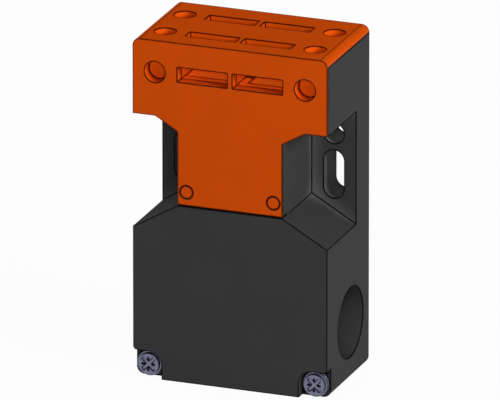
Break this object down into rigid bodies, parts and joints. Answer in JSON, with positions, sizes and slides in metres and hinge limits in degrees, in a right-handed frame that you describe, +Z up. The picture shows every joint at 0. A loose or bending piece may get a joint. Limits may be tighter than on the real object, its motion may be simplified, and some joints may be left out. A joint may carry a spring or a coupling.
{
  "type": "position switch",
  "caption": "Safety position switch worked by a separate key: moulded case with an orange slotted actuator head, cable entries and a screwed terminal cover.",
  "frame": {"origin": "centre of the base, where the switch stands: middle of the width, middle of the depth, lowest face", "axes": "+X to the right, +Y from the front cover to the mounting face at the back, +Z up through the actuator head"},
  "size_m": [0.052, 0.03, 0.09],
  "materials": {
    "case_plastic": "fine moulded texture, dark grey glass-filled thermoplastic",
    "cap_plastic": "fine moulded texture, orange thermoplastic",
    "plug_plastic": "smooth moulded black",
    "block_plastic": "smooth moulded grey",
    "nylon": "smooth natural",
    "seal_rubber": "matt",
    "steel": "turned",
    "screw_steel": "zinc plated, blue passivated",
    "spring_steel": "drawn wire",
    "cam_zinc": "die cast",
    "bush_bronze": "sintered",
    "brass": "stamped or turned",
    "bridge_copper": "stamped",
    "silver": "rolled"
  },
  "bodies": {
    "case": {"housing": "case_plastic", "actuator_head_cap": "cap_plastic", "key_guide_block": "cap_plastic", "rotor_bush_left": "bush_bronze", "rotor_bush_right": "bush_bronze", "cap_screws": "steel", "cap_screw_plugs": "cap_plastic", "cover_screw_inserts": "brass", "blanking_plug_left": "plug_plastic", "blanking_plug_base": "plug_plastic", "blanking_plug_seals": "seal_rubber", "plunger_seal": "seal_rubber", "contact_block": "block_plastic", "contact_block_cover": "block_plastic", "contact_block_screws": "steel", "fixed_contact_tips": "silver", "terminal_clamps": "steel", "terminal_screws": "screw_steel", "fixed_contacts_break_left": "brass", "fixed_contacts_make_middle": "brass", "fixed_contacts_break_right": "brass"},
    "cover": {"terminal_cover": "case_plastic", "cover_gasket": "seal_rubber", "cover_screw_retainers": "nylon"},
    "screw_left": {"cover_screw_left": "screw_steel"},
    "screw_right": {"cover_screw_right": "screw_steel"},
    "rotor": {"rotor_shaft": "steel", "rotor_wheel_left": "cap_plastic", "rotor_wheel_right": "cap_plastic", "rotor_cam": "cam_zinc"},
    "plunger": {"plunger": "nylon", "plunger_spring": "spring_steel", "contact_carrier": "nylon", "contact_springs": "spring_steel", "contact_bridge_break_left": "bridge_copper", "contact_bridge_make_middle": "bridge_copper", "contact_bridge_break_right": "bridge_copper"}
  },
  "joints": [
    {"name": "rotor_turn", "type": "hinge", "parent": "case", "child": "rotor", "pos_m": [0, -0.0007, 0.0747], "axis": [-1, 0, 0], "range_deg": [0, 45]},
    {"name": "plunger_slide", "type": "slide", "parent": "case", "child": "plunger", "axis": [0, 0, 1], "range_m": [0, 0.0025], "deforming": ["plunger_spring"]},
    {"name": "cover_lift_off", "type": "slide", "parent": "case", "child": "cover", "axis": [0, -1, 0], "range_m": [0, 0.014]},
    {"name": "cover_screw_left_turn", "type": "hinge", "parent": "cover", "child": "screw_left", "pos_m": [-0.0222, -0.01415, 0.0035], "axis": [0, -1, 0], "continuous": true},
    {"name": "cover_screw_right_turn", "type": "hinge", "parent": "cover", "child": "screw_right", "pos_m": [0.0222, -0.01415, 0.0035], "axis": [0, -1, 0], "continuous": true}
  ],
  "couplings": [
    {"joint": "rotor_turn", "follows": "plunger_slide", "rad_per_m": 314}
  ]
}
